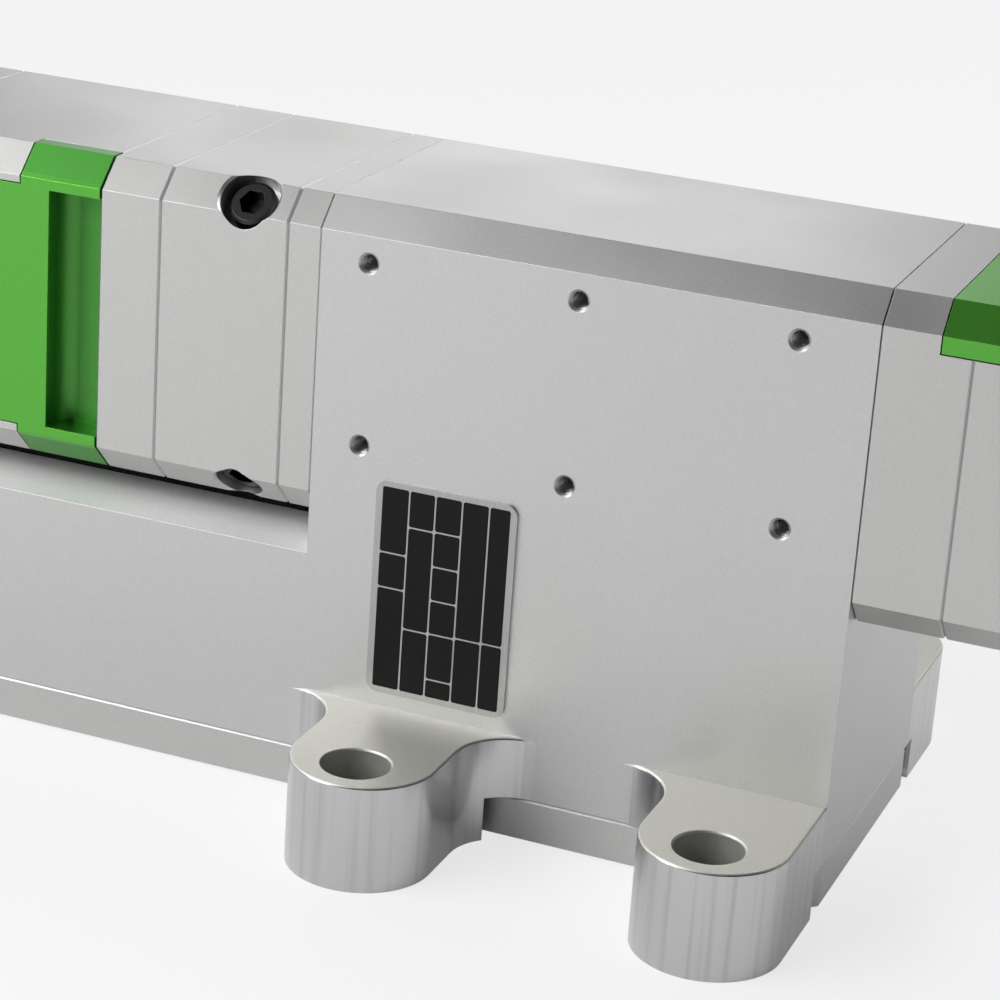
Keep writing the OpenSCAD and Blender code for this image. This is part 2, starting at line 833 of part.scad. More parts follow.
module gas_block() {
    color(alu) difference() {
        bar(window_x1, gas_x1);
        cone(window_x1 - past, gas_x1 + past, beam_d, gas_exit_d);
        right_ties() rod(window_x1 - past, gas_x1 + past, tie_d + tie_play);
        right_ties() rod(gas_x1 - tie_recess, gas_x1 + past, tie_head_d + tie_play);
        translate([gas_x, 0, axis_h]) rotate([-90, 0, 0]) cylinder(h = half + past, d = gas_port_d / 2);
        translate([gas_x, half - gas_port_l, axis_h]) rotate([-90, 0, 0])
            cylinder(h = gas_port_l + past, d = gas_port_d + 2 * seat_play);
        mount_screw_places() rod(gas_x1 - mount_l, gas_x1 + past, mount_screw_d + tie_play);
    }
}

module right_tie_screws() {
    head_x = gas_x1 - tie_recess;
    color(dark_steel) right_ties()
        cap_screw_x(head_x, head_x - block_x1 + tie_grip, tie_d, tie_head_d, tie_head_l, 1);
}

// Push-in fitting with a hexagon and a release collar
module gas_fitting() {
    release_z = gas_fitting_l - gas_release_l;
    color(brass) translate([gas_x, half, axis_h]) rotate([-90, 0, 0]) difference() {
        union() {
            translate([0, 0, -gas_port_l]) cylinder(h = gas_port_l, d = gas_port_d);
            cylinder(h = gas_hex_l, d = gas_hex_d, $fn = 6);
            translate([0, 0, gas_hex_l]) cylinder(h = release_z - gas_hex_l, d = gas_collar_d);
            translate([0, 0, release_z]) cylinder(h = gas_release_l, d = gas_release_d);
        }
        translate([0, 0, gas_fitting_l - gas_tube_l]) cylinder(h = gas_tube_l + past, d = gas_tube_d);
        translate([0, 0, -gas_port_l - past]) cylinder(h = gas_fitting_l, d = gas_port_d / 2);
    }
}

module mount_screw_places() {
    for (angle = [45 : 90 : 315])
        translate([0, mount_screw_ring * cos(angle), mount_screw_ring * sin(angle)]) children();
}

module sensor_mount() {
    color(alu) difference() {
        union() {
            rod(gas_x1, mount_x1 - past, mount_d);
            cone(mount_x1 - past, mount_x1, mount_d, mount_d - 2 * past);
        }
        rod(gas_x1 - past, mount_x1 + past, gas_exit_d);
        mount_screw_places() rod(gas_x1 - past, mount_x1 + past, mount_screw_d + tie_play);
        mount_screw_places()
            rod(mount_x1 - mount_screw_d - past, mount_x1 + past, mount_screw_head + tie_play);
    }
}

module sensor_mount_screws() {
    seat_x = mount_x1 - mount_screw_d - past;
    color(dark_steel) mount_screw_places()
        cap_screw_x(seat_x, mount_l, mount_screw_d, mount_screw_head, mount_screw_d, 1);
}

module sensor_body() {
    neck_x = mount_x1 + sensor_neck_l;
    taper_x = sensor_x1 - nut_overlap - tie_d;
    plug_y = mount_d / 2 - sensor_plug_sink;
    color(alu) difference() {
        union() {
            rod(mount_x1, neck_x, sensor_neck_d);
            rod(neck_x, taper_x - sensor_taper_l, sensor_d);
            cone(taper_x - sensor_taper_l, taper_x, sensor_d, sensor_nose_d);
            rod(taper_x, sensor_x1, sensor_nose_d);
        }
        cone(mount_x1 - past, sensor_x1 + past, sensor_mouth_d, sensor_exit_d);
        translate([sensor_plug_x, plug_y, axis_h]) rotate([-90, 0, 0])
            cylinder(h = sensor_plug_sink, d = sensor_plug_d + tie_play);
    }
}

module sensor_connector() {
    plug_y = mount_d / 2 - sensor_plug_sink;
    color(brass) translate([sensor_plug_x, plug_y, axis_h]) rotate([-90, 0, 0]) difference() {
        union() {
            cylinder(h = sensor_plug_l, d = sensor_plug_d);
            translate([0, 0, plug_hex_z]) cylinder(h = plug_hex_l, d = plug_hex_d, $fn = 6);
        }
        translate([0, 0, sensor_plug_l - plug_socket_l])
            cylinder(h = plug_socket_l + past, d = plug_socket_d);
    }
}

module ceramic_ring() {
    color(white) difference() {
        union() {
            rod(sensor_x1, sensor_x1 + ceramic_flange_l, ceramic_d);
            cone(sensor_x1 + ceramic_flange_l, sensor_x1 + ceramic_l, ceramic_root_d, ceramic_tip_d);
        }
        rod(sensor_x1 - past, sensor_x1 + ceramic_l + past, ceramic_bore_d);
    }
}

module ceramic_nut() {
    x0 = sensor_x1 - nut_overlap;
    lip_x = sensor_x1 + ceramic_flange_l;
    x1 = x0 + nut_l;
    color(steel) difference() {
        union() {
            rod(x0, x1 - nut_cone_l, nut_d);
            cone(x1 - nut_cone_l, x1, nut_d, nut_d - 2 * nut_cone_l);
        }
        rod(x0 - past, sensor_x1, sensor_nose_d + 2 * running);
        rod(sensor_x1 - past, lip_x, ceramic_d + 2 * running);
        rod(lip_x - past, x1 + past, nut_mouth_d);
        for (i = [0 : flutes - 1])
            translate([x0 - past, 0, axis_h]) rotate([i * 360 / flutes, 0, 0])
                translate([0, 0, nut_d / 2 + flute_d / 4]) rotate([0, 90, 0])
                    cylinder(h = nut_l - nut_cone_l, d = flute_d);
    }
}

module nozzle() {
    x0 = sensor_x1 + ceramic_l;
    color(copper) difference() {
        union() {
            rod(x0 - nozzle_shank_l, x0, ceramic_bore_d - 2 * running);
            rod(x0, x0 + nozzle_collar_l, nozzle_collar_d);
            cone(x0 + nozzle_collar_l, x0 + nozzle_l, nozzle_cone_d, nozzle_tip_d);
        }
        cone(x0 - nozzle_shank_l - past, x0 + nozzle_l - nozzle_lip_l, nozzle_mouth_d, orifice_d);
        rod(x0, x0 + nozzle_l + past, orifice_d);
    }
}

// O-rings beside each protective window
module bay_seals() {
    r = seal_ring_d / 2;
    u0 = tray_u - tray_gap;
    u1 = tray_u + tray_t + tray_gap;
    for (u = [u0 - r, u1 + r]) translate([u, 0, 0]) rotate([0, 90, 0])
        rotate_extrude() translate([seal_ring_r, 0]) circle(r = r, $fn = 24);
}

module window_seals() {
    color(black) {
        in_upper_bay() bay_seals();
        in_lower_bay() bay_seals();
    }
}

// Drawers, each drawn in its own bay

module front_section(u0, u1) {
    translate([u0, 0, 0]) rotate([90, 0, 90]) linear_extrude(u1 - u0) polygon([
        [-half, front_back], [half, front_back], [half, half - edge_chamfer],
        [half - edge_chamfer, half], [edge_chamfer - half, half], [-half, half - edge_chamfer]
    ]);
}

module finger_recess() {
    u0 = bay_l - recess_l;
    floor_w = half - recess_depth;
    rotate([90, 0, 0]) linear_extrude(recess_w, center = true) union() {
        polygon([
            [u0, half + past], [u0, floor_w + recess_corner], [u0 + recess_corner, floor_w],
            [bay_l + past, floor_w], [bay_l + past, half + past]
        ]);
        translate([u0 + recess_corner, floor_w + recess_corner]) circle(r = recess_corner);
    }
}

// Front with its finger recess, seated on the tray
module drawer_front(full_wing) {
    wing_end = front_gap - wing_l;
    difference() {
        union() {
            front_section(full_wing ? wing_end : front_gap, bay_l - front_gap);
            if (!full_wing) box([wing_end, -wing_w / 2, front_back], [bay_l / 2, wing_w / 2, half]);
        }
        finger_recess();
    }
}

module drawer_tray() {
    v = tray_w / 2;
    corner = 3;
    difference() {
        translate([tray_u, 0, 0]) rotate([90, 0, 90]) linear_extrude(tray_t) polygon([
            [-v, front_back], [-v, corner - v], [corner - v, -v],
            [v - corner, -v], [v, corner - v], [v, front_back]
        ]);
        translate([tray_u - past, 0, 0]) rotate([0, 90, 0])
            cylinder(h = tray_t + 2 * past, d = window_aperture);
        translate([tray_u + tray_seat, 0, 0]) rotate([0, 90, 0])
            cylinder(h = tray_t, d = window_d + 2 * window_play);
    }
}

module drawer_window() {
    translate([tray_u + tray_seat, 0, 0]) rotate([0, 90, 0]) cylinder(h = window_t, d = window_d);
}

module drawer_retainer() {
    u0 = tray_u + tray_seat + window_t;
    translate([u0, 0, 0]) rotate([0, 90, 0]) difference() {
        cylinder(h = tray_u + tray_t - u0, d = window_d + window_play);
        translate([0, 0, -past]) cylinder(h = tray_t, d = window_aperture);
    }
}

module upper_drawer_front() { color(green) in_upper_bay() drawer_front(false); }
module upper_drawer_tray() { color(steel) in_upper_bay() drawer_tray(); }
module upper_window() { color(glass) in_upper_bay() drawer_window(); }
module upper_window_retainer() { color(brass) in_upper_bay() drawer_retainer(); }
module lower_drawer_front() { color(green) in_lower_bay() drawer_front(true); }
module lower_drawer_tray() { color(steel) in_lower_bay() drawer_tray(); }
module lower_window() { color(glass) in_lower_bay() drawer_window(); }
module lower_window_retainer() { color(brass) in_lower_bay() drawer_retainer(); }

// Centring slides and their adjusting screws

module centring_slide() {
    x0 = centring_x0 + slide_gap;
    x1 = x0 + slide_t;
    color(alu) difference() {
        run_diagonal(x0, x1) flatted(slide_r, slide_flat, true);
        run_diagonal(x0 - past, x1 - slide_lip) flatted(cell_b_room_r, cell_b_flat + running, false);
        rod(x0 - past, x1 + past, slide_bore_d);
        on_diagonal(angle_a) cylinder(h = slide_r + past, d = adjust_d + 2 * running);
        on_diagonal(angle_b) cylinder(h = slide_r + past, d = adjust_d + 2 * running);
    }
}

module adjusting_screw(tip) {
    head_top = adjust_seat + adjust_head_l;
    difference() {
        union() {
            translate([0, 0, tip]) cylinder(h = adjust_seat - tip, d = adjust_d);
            translate([0, 0, adjust_seat]) cylinder(h = adjust_head_l - adjust_head_edge, d = adjust_head_d);
            translate([0, 0, head_top - adjust_head_edge])
                cylinder(h = adjust_head_edge, d1 = adjust_head_d, d2 = adjust_head_d - 2 * adjust_head_edge);
        }
        translate([0, 0, head_top - socket_hex_depth])
            cylinder(h = socket_hex_depth + past, d = socket_hex * 2 / sqrt(3), $fn = 6);
    }
}

module adjusting_screw_a() { color(dark_steel) on_diagonal(angle_a) adjusting_screw(screw_tip_a); }
module adjusting_screw_b() { color(dark_steel) on_diagonal(angle_b) adjusting_screw(screw_tip_b); }

// The collimator's cell slides on the second diagonal, inside the first slide
collimator_x0 = centring_x0 + slide_gap;
collimator_x1 = collimator_x0 + slide_t - slide_lip - slide_gap;
collimator_seat_x = adjust_x - adjust_d / 2 - 1;

module collimator_cell() {
    color(alu) difference() {
        run_diagonal(collimator_x0, collimator_x1) flatted(cell_b_r, cell_b_flat, false);
        rod(collimator_x0 - past, collimator_x1 + past, lens_aperture);
        rod(collimator_x0 - past, collimator_seat_x, lens_d + 2 * lens_play);
        on_diagonal(angle_b) cylinder(h = cell_b_r + past, d = adjust_d + 2 * running);
    }
}

module collimator_lens() {
    color(glass) translate([collimator_seat_x, 0, axis_h]) mirror([1, 0, 0]) lens();
}

module collimator_retainer() {
    x1 = collimator_seat_x - lens_t + lens_rim;
    color(black) ring(x1 - retainer_t, x1 - lens_play, lens_d + lens_play, lens_aperture);
}

// Focus drive

module drive_motor() {
    cut = 3;
    screw_end = web_x0 - motor_screw_grip - past;
    color(black) difference() {
        union() {
            translate([motor_x0, 0, drive_z]) rotate([90, 0, 90]) linear_extrude(motor_l)
                polygon(cut_square(motor_w, cut));
            rod(web_x0 - past, web_x0 + pilot_l, pilot_d, 0, drive_z);
        }
        rod(web_x0 - motor_l / 2, web_x0 + pilot_l + past, journal_d + 2 * running, 0, drive_z);
        motor_screw_places() rod(screw_end, web_x0 + past, motor_screw_d + tie_play, 0, drive_z);
    }
}

module motor_screws() {
    length = web_t + motor_screw_grip;
    color(dark_steel) translate([0, 0, drive_z - axis_h]) motor_screw_places()
        cap_screw_x(web_x0 + web_t, length, motor_screw_d, motor_screw_head, motor_screw_d, 1);
}

module motor_shaft() {
    color(steel) rod(web_x0 - motor_l / 2 + past, coupling_mid - past, journal_d, 0, drive_z);
}

module shaft_coupling() {
    slit = 1;
    slit_place = 3;
    slit_reach = 0.4 * coupling_d;
    color(alu) difference() {
        rod(coupling_x0, coupling_x1, coupling_d, 0, drive_z);
        rod(coupling_x0 - past, coupling_x1 + past, journal_d + 2 * seat_play, 0, drive_z);
        for (i = [-1, 1])
            translate([coupling_mid + i * slit_place, i * slit_reach, drive_z])
                cube([slit, coupling_d, 2 * coupling_d], center = true);
    }
}

module lead_screw() {
    thread_x0 = left_bearing_x + bearing_t;
    color(steel) {
        rod(coupling_mid + past, thread_x0 + past, journal_d, 0, drive_z);
        rod(thread_x0 + past, right_bearing_x - past, screw_d, 0, drive_z);
        rod(right_bearing_x - past, right_bearing_x + bearing_t + past, journal_d, 0, drive_z);
    }
}

module bearing_blocks() {
    y = bearing_w / 2;
    color(alu) for (x = [left_bearing_x, right_bearing_x]) difference() {
        box([x, -y, drive_z - bearing_d], [x + bearing_t, y, chamber_top]);
        rod(x - past, x + bearing_t + past, bearing_lip_d, 0, drive_z);
        rod(x + (bearing_t - bearing_l) / 2, x + bearing_t + past, bearing_d + 2 * seat_play, 0, drive_z);
    }
}

module screw_bearings() {
    color(steel) translate([0, 0, drive_z - axis_h]) for (x = [left_bearing_x, right_bearing_x])
        ring(x + (bearing_t - bearing_l) / 2, x + (bearing_t + bearing_l) / 2,
            bearing_d, journal_d + 2 * running);
}

module guide_rails() {
    color(steel) for (side = [-1, 1]) translate([0, side * rail_pitch / 2, 0])
        box([rail_x0, -rail_w / 2, chamber_top - rail_h], [rail_x1, rail_w / 2, chamber_top]);
}

module guide_blocks() {
    gap = 2 * running;
    color(dark_steel) for (side = [-1, 1]) translate([focus_x, side * rail_pitch / 2, 0]) difference() {
        box([-carriage_l / 2, -guide_w / 2, guide_bottom],
            [carriage_l / 2, guide_w / 2, chamber_top - guide_lift]);
        box([-carriage_l, -rail_w / 2 - gap, chamber_top - rail_h - gap],
            [carriage_l, rail_w / 2 + gap, shelf_h]);
    }
}

module focus_carriage() {
    nut_x0 = focus_x - arm_l / 2;
    color(alu) difference() {
        union() {
            box([focus_x - carriage_l / 2, -carriage_w / 2, carriage_z],
                [focus_x + carriage_l / 2, carriage_w / 2, guide_bottom]);
            box([focus_x - arm_l / 2, -nut_block_w / 2, nut_block_z],
                [focus_x + arm_l / 2, nut_block_w / 2, carriage_z]);
            box([focus_x - arm_l / 2, -arm_w / 2, guide_bottom],
                [focus_x + arm_l / 2, arm_w / 2, axis_h - cell_flat]);
            box([focus_x - carriage_l / 2 - flag_l, flag_y - flag_t / 2, guide_bottom - flag_h],
                [focus_x - carriage_l / 2 + past, flag_y + flag_t / 2, guide_bottom]);
        }
        rod(nut_x0 - past, focus_x + arm_l / 2 + past, nut_body_d + 2 * running, 0, drive_z);
    }
}

module screw_nut() {
    x0 = focus_x - arm_l / 2;
    color(brass) difference() {
        union() {
            rod(x0, focus_x + arm_l / 2 - past, nut_body_d, 0, drive_z);
            rod(x0 - nut_flange_t, x0, nut_flange_d, 0, drive_z);
        }
        rod(x0 - nut_flange_t - past, focus_x + arm_l / 2, screw_d + 2 * running, 0, drive_z);
    }
}

focus_seat_x = focus_x - lens_t / 2;

module focus_lens_cell() {
    x0 = focus_x - cell_l / 2;
    x1 = focus_x + cell_l / 2;
    color(black) difference() {
        rod(x0, x1, cell_d);
        rod(x0 - past, x1 + past, lens_aperture);
        rod(focus_seat_x, x1 + past, lens_d + 2 * lens_play);
        box([x0 - past, -cell_d, axis_h - cell_d], [x1 + past, cell_d, axis_h - cell_flat]);
    }
}

module focus_lens() { color(glass) translate([focus_seat_x, 0, axis_h]) lens(); }

module focus_lens_retainer() {
    x0 = focus_seat_x + lens_t - lens_rim + lens_play;
    color(brass) ring(x0, x0 + retainer_t, lens_d + lens_play, lens_aperture);
}

// Forked light barrier that finds the carriage's left end
module home_sensor() {
    x0 = left_bearing_x + bearing_t;
    outer = fork_gap + 2 * fork_t;
    color(black) difference() {
        box([x0, flag_y - outer / 2, guide_bottom - fork_h],
            [x0 + fork_l, flag_y + outer / 2, chamber_top]);
        box([x0 - past, flag_y - fork_gap / 2, guide_bottom - fork_h - past],
            [x0 + fork_l + past, flag_y + fork_gap / 2, guide_bottom + past]);
    }
}

// Round panel plug for the motor and the light barrier
module drive_connector() {
    flange_x = base_x0 - drive_flange_t;
    color(dark_steel) difference() {
        union() {
            rod(flange_x, base_x0, drive_plug_flange, 0, drive_z);
            rod(base_x0 - drive_plug_l, flange_x + past, drive_shell_d, 0, drive_z);
            rod(base_x0 - past, chamber_x0 + 2 * past, drive_plug_d, 0, drive_z);
        }
        rod(base_x0 - drive_plug_l - past, flange_x, drive_socket_d, 0, drive_z);
    }
}

main_body();
back_cover();
back_cover_screws();
data_plate();
stack_support_strip();
spacer_plate();
centring_block();
ring_block();
fibre_end_block();
left_tie_screws();
fibre_receptacle();
receptacle_end_cap();
seal_block();
window_housing();
gas_block();
right_tie_screws();
gas_fitting();
sensor_mount();
sensor_mount_screws();
sensor_body();
sensor_connector();
ceramic_ring();
ceramic_nut();
nozzle();
window_seals();
drive_motor();
motor_screws();
bearing_blocks();
screw_bearings();
guide_rails();
home_sensor();
drive_connector();
focus_carriage();
guide_blocks();
screw_nut();
focus_lens_cell();
focus_lens();
focus_lens_retainer();
lead_screw();
shaft_coupling();
motor_shaft();
upper_drawer_front();
upper_drawer_tray();
upper_window();
upper_window_retainer();
lower_drawer_front();
lower_drawer_tray();
lower_window();
lower_window_retainer();
locking_ring();
centring_slide();
adjusting_screw_a();
collimator_cell();
collimator_lens();
collimator_retainer();
adjusting_screw_b();
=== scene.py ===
# %% [markdown]
# # A laser cutting head, dressed for the camera
#
# The head lies on the back of its mounting lugs, with the fibre side on the left and the nozzle on
# the right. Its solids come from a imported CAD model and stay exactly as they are. This lesson gives
# them their finishes, adds the few pieces that are easier to make in Blender, and sets up the
# camera and the light. All lengths in the scene are metres, so a millimetre has a name of its own.

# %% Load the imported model
import json
import math

import bmesh
import bpy
from mathutils import Matrix, Vector


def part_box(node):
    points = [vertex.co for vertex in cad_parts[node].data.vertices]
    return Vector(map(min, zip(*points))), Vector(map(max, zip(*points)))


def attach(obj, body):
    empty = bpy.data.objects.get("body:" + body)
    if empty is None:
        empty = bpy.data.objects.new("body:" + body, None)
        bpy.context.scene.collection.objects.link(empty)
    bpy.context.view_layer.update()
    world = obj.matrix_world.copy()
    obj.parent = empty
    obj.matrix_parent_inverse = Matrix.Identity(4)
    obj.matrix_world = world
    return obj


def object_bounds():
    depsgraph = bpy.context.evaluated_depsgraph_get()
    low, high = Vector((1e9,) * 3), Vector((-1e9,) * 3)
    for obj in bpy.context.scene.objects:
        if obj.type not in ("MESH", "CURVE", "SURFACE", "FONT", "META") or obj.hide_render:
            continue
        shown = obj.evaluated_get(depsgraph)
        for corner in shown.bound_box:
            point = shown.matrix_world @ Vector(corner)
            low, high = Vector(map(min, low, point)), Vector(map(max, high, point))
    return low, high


MM = 0.001
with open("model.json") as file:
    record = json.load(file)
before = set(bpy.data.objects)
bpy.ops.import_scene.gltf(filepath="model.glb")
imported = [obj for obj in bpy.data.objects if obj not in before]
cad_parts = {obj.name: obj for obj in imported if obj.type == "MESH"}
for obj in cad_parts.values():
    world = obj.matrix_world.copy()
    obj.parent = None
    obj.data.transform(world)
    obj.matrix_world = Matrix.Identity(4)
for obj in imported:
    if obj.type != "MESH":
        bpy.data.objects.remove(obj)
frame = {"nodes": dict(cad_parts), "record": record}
nodes = frame["nodes"]
cad_low, cad_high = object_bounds()
print("CAD nodes:", len(nodes), "size in mm:", [round(length / MM, 1) for length in cad_high - cad_low])

# %% [markdown]
# ## Helpers
#
# Colours are written as sRGB hex, the way a paint chart gives them, and shaders want linear light,
# so one function turns one into the other. A second small function adds any node to any tree: its
# settings are keywords, and an input takes either a plain value or the output of another node.

# %% Colour and node helpers
# Most values of a Noise texture lie between these two
NOISE_LOW, NOISE_HIGH = 0.3, 0.7
noise_range = {"From Min": NOISE_LOW, "From Max": NOISE_HIGH}


def linear(hex_colour):
    """An sRGB hex colour as linear RGBA."""
    channels = [int(hex_colour[i : i + 2], 16) / 255 for i in (1, 3, 5)]
    light = [c / 12.92 if c <= 0.04045 else ((c + 0.055) / 1.055) ** 2.4 for c in channels]
    return (*light, 1.0)


def add(tree, kind, inputs=None, **settings):
    """A new node with its settings, its inputs set to values or linked to sockets."""
    made = tree.nodes.new(kind)
    for name, value in settings.items():
        setattr(made, name, value)
    for name, value in (inputs or {}).items():
        if isinstance(value, bpy.types.NodeSocket):
            tree.links.new(value, made.inputs[name])
        else:
            made.inputs[name].default_value = value
    return made


def start_material(name):
    """An empty material and its tree."""
    material = bpy.data.materials.new(name)
    material.use_nodes = True
    material.node_tree.nodes.clear()
    return material, material.node_tree


def per_metre(millimetres):
    """Scale of a pattern whose features are this far apart."""
    return 1 / (millimetres * MM)


# %% [markdown]
# ## The camera
#
# The picture was taken from the front right and above with a long lens, so upright edges lean only
# a little. The camera's place, the point it looks at and its small roll were found from the corners
# of the block, the holes and the lugs. It is the first thing in the scene, because every choice of
# light is judged through it.

# %% Camera
CAMERA_PLACE = Vector((142.731, -450.262, 224.295)) * MM
CAMERA_AIM = Vector((-16.501, -26.5, 57.616)) * MM
CAMERA_ROLL = math.radians(4.039)
CAMERA_LENS = 110.691
SENSOR = 36.0
CLIP_NEAR = 0.01
CLIP_FAR = 100.0

camera_data = bpy.data.cameras.new("camera")
camera_data.lens = CAMERA_LENS
camera_data.sensor_width = SENSOR
camera_data.clip_start = CLIP_NEAR
camera_data.clip_end = CLIP_FAR
camera = bpy.data.objects.new("camera", camera_data)
bpy.context.scene.collection.objects.link(camera)
level = (CAMERA_AIM - CAMERA_PLACE).to_track_quat("-Z", "Y").to_matrix().to_4x4()
camera.matrix_world = Matrix.Translation(CAMERA_PLACE) @ level @ Matrix.Rotation(CAMERA_ROLL, 4, "Z")
bpy.context.scene.camera = camera
print("camera distance in mm:", round((CAMERA_AIM - CAMERA_PLACE).length / MM, 1))

# %% [markdown]
# ## Floor, world and lamps
#
# A satin metal shows its surroundings more than its own colour. The head stands on a white sweep
# in a room whose left and back walls are bright and whose ceiling is dim: the upright faces then
# reflect the bright floor, and the upper chamfer, which faces the ceiling, turns dark, as it does on
# the real one. Two soft lamps at the left and in front light the near faces, and two more behind
# the head pick out its edges and its end. They are weak enough that a colour renders about as it is
# written. Part of the floor's light is a glow, so that it reads as white to the eye and in
# reflections. In metal the glow is darkened close to the head by ambient occlusion, a painted shadow.
# The rest is ordinary diffuse light, which keeps the shadow under the head.

# %% Floor
# Wide enough that its far edge stays out of all but the lowest views
FLOOR_SIDE = 60.0
FLOOR_GLOW_TO_EYE = 0.75
FLOOR_GLOW_IN_METAL = 0.55
# The glow in metal is darkened by ambient occlusion where the head stands over the floor, a painted shadow,
# within this many metres
SHADE_REACH = 0.12

floor_mesh = bpy.data.meshes.new("floor")
corner = FLOOR_SIDE / 2
floor_mesh.from_pydata(
    [(-corner, -corner, 0), (corner, -corner, 0), (corner, corner, 0), (-corner, corner, 0)],
    [],
    [(0, 1, 2, 3)],
)
floor = bpy.data.objects.new("floor", floor_mesh)
bpy.context.scene.collection.objects.link(floor)

sweep, tree = start_material("white_studio_sweep")
path = add(tree, "ShaderNodeLightPath")
mirrored = add(
    tree,
    "ShaderNodeMath",
    {0: path.outputs["Is Glossy Ray"], 1: path.outputs["Is Transmission Ray"]},
    operation="MAXIMUM",
)
# Ambient occlusion darkens the glow that metal sees near the head: a painted contact shadow
painted_contact_shadow = add(tree, "ShaderNodeAmbientOcclusion", {"Distance": SHADE_REACH}, samples=8)
metal_glow_with_painted_shadow = add(
    tree,
    "ShaderNodeMath",
    {0: painted_contact_shadow.outputs["AO"], 1: FLOOR_GLOW_IN_METAL},
    operation="MULTIPLY",
)
in_metal = add(tree, "ShaderNodeMath", {0: mirrored.outputs[0], 1: metal_glow_with_painted_shadow.outputs[0]}, operation="MULTIPLY")
share = add(
    tree,
    "ShaderNodeMath",
    {0: path.outputs["Is Camera Ray"], 1: FLOOR_GLOW_TO_EYE, 2: in_metal.outputs[0]},
    operation="MULTIPLY_ADD",
)
paper = add(tree, "ShaderNodeBsdfDiffuse", {"Color": linear("#f2f2f2")})
glow = add(tree, "ShaderNodeEmission", {"Color": linear("#ffffff"), "Strength": 1.0})
seen = add(tree, "ShaderNodeMixShader", {0: share.outputs[0], 1: paper.outputs[0], 2: glow.outputs[0]})
add(tree, "ShaderNodeOutputMaterial", {"Surface": seen.outputs[0]})
floor_mesh.materials.append(sweep)

# %% World
# Brightness of the room against the height of the direction, from the horizon to straight up
HORIZON_LIGHT = 0.54
CEILING_LIGHT = 0.08
CEILING_START = 0.35
CEILING_END = 1.0
# The bright walls are at the left and the back, and this share of their light is left opposite them
BRIGHT_SIDE = (-0.70, 0.70, 0.0)
DIM_SHARE = 0.12

world = bpy.data.worlds.new("white_room")
bpy.context.scene.world = world
world.use_nodes = True
tree = world.node_tree
tree.nodes.clear()
direction = add(tree, "ShaderNodeTexCoord")
height = add(tree, "ShaderNodeSeparateXYZ", {"Vector": direction.outputs["Generated"]})
room = add(
    tree,
    "ShaderNodeMapRange",
    {
        "Value": height.outputs["Z"],
        "From Min": CEILING_START,
        "From Max": CEILING_END,
        "To Min": HORIZON_LIGHT,
        "To Max": CEILING_LIGHT,
    },
    interpolation_type="SMOOTHSTEP",
)
facing = add(
    tree,
    "ShaderNodeVectorMath",
    {0: direction.outputs["Generated"], 1: BRIGHT_SIDE},
    operation="DOT_PRODUCT",
)
wall_share = add(
    tree,
    "ShaderNodeMapRange",
    {
        "Value": facing.outputs["Value"],
        "From Min": -1.0,
        "From Max": 1.0,
        "To Min": DIM_SHARE,
        "To Max": 1.0,
    },
    interpolation_type="SMOOTHSTEP",
)
walls = add(tree, "ShaderNodeMath", {0: room.outputs[0], 1: wall_share.outputs[0]}, operation="MULTIPLY")
air = add(tree, "ShaderNodeBackground", {"Color": linear("#ffffff"), "Strength": walls.outputs[0]})
add(tree, "ShaderNodeOutputWorld", {"Surface": air.outputs[0]})
bpy.context.scene.view_settings.view_transform = "Standard"

# %% Lamps
# Each lamp: its name, its place and its size in metres, and its power in watts
LAMPS = [
    ("left_softbox", (-0.62, -0.44, 0.50), 0.45, 4.6),
    ("front_softbox", (-0.60, -1.05, 0.80), 0.4, 5.0),
    ("right_back_softbox", (0.70, 0.80, 1.10), 0.8, 9.0),
    ("left_back_softbox", (-0.60, 1.40, 0.62), 0.6, 1.3),
]
LAMP_AIM = Vector((0, 0, 50)) * MM
for name, spot, size, power in LAMPS:
    lamp_data = bpy.data.lights.new(name, "AREA")
    lamp_data.shape = "SQUARE"
    lamp_data.size = size
    lamp_data.energy = power
    lamp = bpy.data.objects.new(name, lamp_data)
    lamp.location = spot
    lamp.rotation_euler = (LAMP_AIM - Vector(spot)).to_track_quat("-Z", "Y").to_euler()
    bpy.context.scene.collection.objects.link(lamp)
print("lamps:", [name for name, *rest in LAMPS])

# %% [markdown]
# ## Blasted and anodised aluminium
#
# The body and the stacked blocks are aluminium, blasted with glass beads and then anodised clear.
# That leaves a fine even grain that scatters a reflection into a soft glow and sparkles a little
# where the light is low. The green drawers are the same metal, with a dye in the bath, and the clear
# film of oxide over the dye adds a colourless gleam at a flat angle. So one function makes all of
# them from two shades, two degrees of gloss and the strength of the film. A Bevel node rounds the
# shading along every edge, as the tumbling after milling does. Two pieces have patches, and a box in
# Object coordinates says where each one is. Each patch is painted lighter or darker than the rest:
# painted light on the shelf, the lug tops and the bores, painted shade on the lug sides and in the
# drawer's recess. The lugs and their bores also have a milled or drilled gloss of their own, and the
# sides of the lugs show the upright marks of an end mill, from a noise drawn out along Z.

# %% Anodised finishes
# Beads of about 0.1 mm leave dents too fine to show, so the grain is drawn several times coarser
BEAD_GRAIN = 0.35
BEAD_DENT = 0.02
CLOUD = 25.0
EDGE_BREAK = 0.12
BEVEL_SAMPLES = 4
DENT_STRENGTH = 0.6
# Values of the noise at which a finish and a patch reach their two shades
DYE_LOW, DYE_HIGH = 0.35, 0.65
PATCH_LOW, PATCH_HIGH = 0.30, 0.50
FILM_ROUGHNESS = 0.25
# An end mill leaves upright marks of about 0.3 mm, which are drawn five times wider to show, and
# which run over the whole height of a lug
MARK_WIDTH = 1.6
MARK_LENGTH = 80.0


